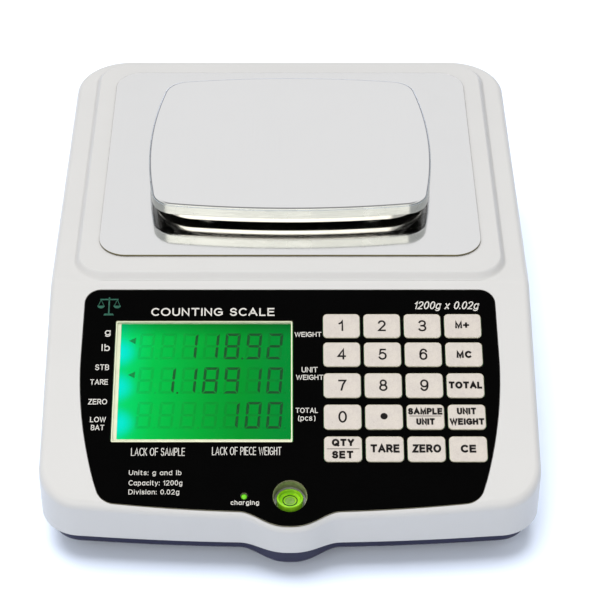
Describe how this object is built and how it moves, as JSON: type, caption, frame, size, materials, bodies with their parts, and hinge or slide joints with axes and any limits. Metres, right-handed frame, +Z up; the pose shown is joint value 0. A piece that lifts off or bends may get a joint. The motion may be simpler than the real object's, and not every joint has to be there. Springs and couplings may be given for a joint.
{
  "type": "counting scale",
  "caption": "Bench counting scale: a plastic case with a sloping keypad and backlit display panel, a mirror-finished deck plate and a lift-off stainless pan on levelling feet.",
  "frame": {"origin": "centre of the bounding box's bottom, on the table that the four feet stand on", "axes": "+X to the right of someone facing the operator panel, +Y from the panel to the rear wall, +Z up"},
  "size_m": [0.2344, 0.324, 0.097],
  "materials": {
    "case": "satin injection-moulded plastic",
    "base": "dark blue satin plastic",
    "steel": "mirror-polished stainless steel",
    "fastener": "zinc-plated steel",
    "overlay": "printed polyester overlay",
    "key": "silver-printed polyester",
    "clear": "clear acrylic",
    "light_guide": "milky acrylic",
    "bezel": "cream plastic",
    "lcd": "green backlit liquid-crystal glass",
    "circuit": "fibreglass board with solder mask",
    "level": "clear acrylic filled with yellow-green liquid",
    "led": "tinted epoxy",
    "aluminium": "machined or die-cast",
    "battery": "black case",
    "rubber": "matte",
    "black": "black nylon",
    "cable": "soft sheath"
  },
  "bodies": {
    "case": {"backlight_panel": "light_guide", "battery": "battery", "battery_lead": "cable", "battery_strap": "fastener", "bottom_housing": "base", "case_screw_1": "fastener", "case_screw_2": "fastener", "case_screw_3": "fastener", "case_screw_4": "fastener", "charge_led": "led", "dc_jack": "black", "deck_plate": "steel", "display_bezel": "bezel", "display_window": "clear", "keypad_circuit": "circuit", "lcd_panel": "lcd", "level_vial": "level", "load_cell": "aluminium", "load_cell_base": "aluminium", "load_cell_bolt_1": "fastener", "load_cell_bolt_2": "fastener", "load_cell_cable": "cable", "main_board": "circuit", "panel_overlay": "overlay", "switch_body": "black", "top_housing": "case"},
    "platform": {"pan_spider": "aluminium", "pan_carrier": "steel", "spider_bolt_1": "fastener", "spider_bolt_2": "fastener"},
    "pan": {"weighing_pan": "steel"},
    "rocker": {"switch_rocker": "black"},
    "pad_front_left": {"foot_pad_front_left": "rubber"},
    "screw_front_left": {"foot_screw_front_left": "black"},
    "pad_front_right": {"foot_pad_front_right": "rubber"},
    "screw_front_right": {"foot_screw_front_right": "black"},
    "pad_rear_left": {"foot_pad_rear_left": "rubber"},
    "screw_rear_left": {"foot_screw_rear_left": "black"},
    "pad_rear_right": {"foot_pad_rear_right": "rubber"},
    "screw_rear_right": {"foot_screw_rear_right": "black"},
    "key_1_cap": {"key_1": "key"},
    "key_2_cap": {"key_2": "key"},
    "key_3_cap": {"key_3": "key"},
    "key_memory_add_cap": {"key_memory_add": "key"},
    "key_4_cap": {"key_4": "key"},
    "key_5_cap": {"key_5": "key"},
    "key_6_cap": {"key_6": "key"},
    "key_memory_clear_cap": {"key_memory_clear": "key"},
    "key_7_cap": {"key_7": "key"},
    "key_8_cap": {"key_8": "key"},
    "key_9_cap": {"key_9": "key"},
    "key_total_cap": {"key_total": "key"},
    "key_0_cap": {"key_0": "key"},
    "key_point_cap": {"key_point": "key"},
    "key_sample_unit_cap": {"key_sample_unit": "key"},
    "key_unit_weight_cap": {"key_unit_weight": "key"},
    "key_quantity_set_cap": {"key_quantity_set": "key"},
    "key_tare_cap": {"key_tare": "key"},
    "key_zero_cap": {"key_zero": "key"},
    "key_clear_cap": {"key_clear": "key"}
  },
  "joints": [
    {"name": "platform_press", "type": "slide", "parent": "case", "child": "platform", "axis": [0, 0, 1], "range_m": [-0.0002, 0], "stiffness_N_per_m": 60000, "springref_m": 0.00008},
    {"name": "pan_lift", "type": "slide", "parent": "platform", "child": "pan", "axis": [0, 0, 1], "range_m": [0, 0.06]},
    {"name": "power_rocker", "type": "hinge", "parent": "case", "child": "rocker", "pos_m": [0.052, 0.1542, 0.048], "axis": [0, 0, 1], "range_deg": [0, 22]},
    {"name": "key_1_press", "type": "slide", "parent": "case", "child": "key_1_cap", "axis": [0, 0.3584, -0.9336], "range_m": [0, 0.0004], "stiffness_N_per_m": 4000, "springref_m": -0.0001},
    {"name": "key_2_press", "type": "slide", "parent": "case", "child": "key_2_cap", "axis": [0, 0.3584, -0.9336], "range_m": [0, 0.0004], "stiffness_N_per_m": 4000, "springref_m": -0.0001},
    {"name": "key_3_press", "type": "slide", "parent": "case", "child": "key_3_cap", "axis": [0, 0.3584, -0.9336], "range_m": [0, 0.0004], "stiffness_N_per_m": 4000, "springref_m": -0.0001},
    {"name": "key_memory_add_press", "type": "slide", "parent": "case", "child": "key_memory_add_cap", "axis": [0, 0.3584, -0.9336], "range_m": [0, 0.0004], "stiffness_N_per_m": 4000, "springref_m": -0.0001},
    {"name": "key_4_press", "type": "slide", "parent": "case", "child": "key_4_cap", "axis": [0, 0.3584, -0.9336], "range_m": [0, 0.0004], "stiffness_N_per_m": 4000, "springref_m": -0.0001},
    {"name": "key_5_press", "type": "slide", "parent": "case", "child": "key_5_cap", "axis": [0, 0.3584, -0.9336], "range_m": [0, 0.0004], "stiffness_N_per_m": 4000, "springref_m": -0.0001},
    {"name": "key_6_press", "type": "slide", "parent": "case", "child": "key_6_cap", "axis": [0, 0.3584, -0.9336], "range_m": [0, 0.0004], "stiffness_N_per_m": 4000, "springref_m": -0.0001},
    {"name": "key_memory_clear_press", "type": "slide", "parent": "case", "child": "key_memory_clear_cap", "axis": [0, 0.3584, -0.9336], "range_m": [0, 0.0004], "stiffness_N_per_m": 4000, "springref_m": -0.0001},
    {"name": "key_7_press", "type": "slide", "parent": "case", "child": "key_7_cap", "axis": [0, 0.3584, -0.9336], "range_m": [0, 0.0004], "stiffness_N_per_m": 4000, "springref_m": -0.0001},
    {"name": "key_8_press", "type": "slide", "parent": "case", "child": "key_8_cap", "axis": [0, 0.3584, -0.9336], "range_m": [0, 0.0004], "stiffness_N_per_m": 4000, "springref_m": -0.0001},
    {"name": "key_9_press", "type": "slide", "parent": "case", "child": "key_9_cap", "axis": [0, 0.3584, -0.9336], "range_m": [0, 0.0004], "stiffness_N_per_m": 4000, "springref_m": -0.0001},
    {"name": "key_total_press", "type": "slide", "parent": "case", "child": "key_total_cap", "axis": [0, 0.3584, -0.9336], "range_m": [0, 0.0004], "stiffness_N_per_m": 4000, "springref_m": -0.0001},
    {"name": "key_0_press", "type": "slide", "parent": "case", "child": "key_0_cap", "axis": [0, 0.3584, -0.9336], "range_m": [0, 0.0004], "stiffness_N_per_m": 4000, "springref_m": -0.0001},
    {"name": "key_point_press", "type": "slide", "parent": "case", "child": "key_point_cap", "axis": [0, 0.3584, -0.9336], "range_m": [0, 0.0004], "stiffness_N_per_m": 4000, "springref_m": -0.0001},
    {"name": "key_sample_unit_press", "type": "slide", "parent": "case", "child": "key_sample_unit_cap", "axis": [0, 0.3584, -0.9336], "range_m": [0, 0.0004], "stiffness_N_per_m": 4000, "springref_m": -0.0001},
    {"name": "key_unit_weight_press", "type": "slide", "parent": "case", "child": "key_unit_weight_cap", "axis": [0, 0.3584, -0.9336], "range_m": [0, 0.0004], "stiffness_N_per_m": 4000, "springref_m": -0.0001},
    {"name": "key_quantity_set_press", "type": "slide", "parent": "case", "child": "key_quantity_set_cap", "axis": [0, 0.3584, -0.9336], "range_m": [0, 0.0004], "stiffness_N_per_m": 4000, "springref_m": -0.0001},
    {"name": "key_tare_press", "type": "slide", "parent": "case", "child": "key_tare_cap", "axis": [0, 0.3584, -0.9336], "range_m": [0, 0.0004], "stiffness_N_per_m": 4000, "springref_m": -0.0001},
    {"name": "key_zero_press", "type": "slide", "parent": "case", "child": "key_zero_cap", "axis": [0, 0.3584, -0.9336], "range_m": [0, 0.0004], "stiffness_N_per_m": 4000, "springref_m": -0.0001},
    {"name": "key_clear_press", "type": "slide", "parent": "case", "child": "key_clear_cap", "axis": [0, 0.3584, -0.9336], "range_m": [0, 0.0004], "stiffness_N_per_m": 4000, "springref_m": -0.0001},
    {"name": "foot_height_front_left", "type": "slide", "parent": "case", "child": "pad_front_left", "axis": [0, 0, 1], "range_m": [-0.003, 0.003]},
    {"name": "foot_turn_front_left", "type": "hinge", "parent": "pad_front_left", "child": "screw_front_left", "pos_m": [-0.09, -0.124, 0], "axis": [0, 0, 1], "range_deg": [-1080, 1080]},
    {"name": "foot_height_front_right", "type": "slide", "parent": "case", "child": "pad_front_right", "axis": [0, 0, 1], "range_m": [-0.003, 0.003]},
    {"name": "foot_turn_front_right", "type": "hinge", "parent": "pad_front_right", "child": "screw_front_right", "pos_m": [0.09, -0.124, 0], "axis": [0, 0, 1], "range_deg": [-1080, 1080]},
    {"name": "foot_height_rear_left", "type": "slide", "parent": "case", "child": "pad_rear_left", "axis": [0, 0, 1], "range_m": [-0.003, 0.003]},
    {"name": "foot_turn_rear_left", "type": "hinge", "parent": "pad_rear_left", "child": "screw_rear_left", "pos_m": [-0.09, 0.13, 0], "axis": [0, 0, 1], "range_deg": [-1080, 1080]},
    {"name": "foot_height_rear_right", "type": "slide", "parent": "case", "child": "pad_rear_right", "axis": [0, 0, 1], "range_m": [-0.003, 0.003]},
    {"name": "foot_turn_rear_right", "type": "hinge", "parent": "pad_rear_right", "child": "screw_rear_right", "pos_m": [0.09, 0.13, 0], "axis": [0, 0, 1], "range_deg": [-1080, 1080]}
  ],
  "couplings": [
    {"joint": "foot_height_front_left", "follows": "foot_turn_front_left", "m_per_rad": 0.000159},
    {"joint": "foot_height_front_right", "follows": "foot_turn_front_right", "m_per_rad": 0.000159},
    {"joint": "foot_height_rear_left", "follows": "foot_turn_rear_left", "m_per_rad": 0.000159},
    {"joint": "foot_height_rear_right", "follows": "foot_turn_rear_right", "m_per_rad": 0.000159}
  ]
}
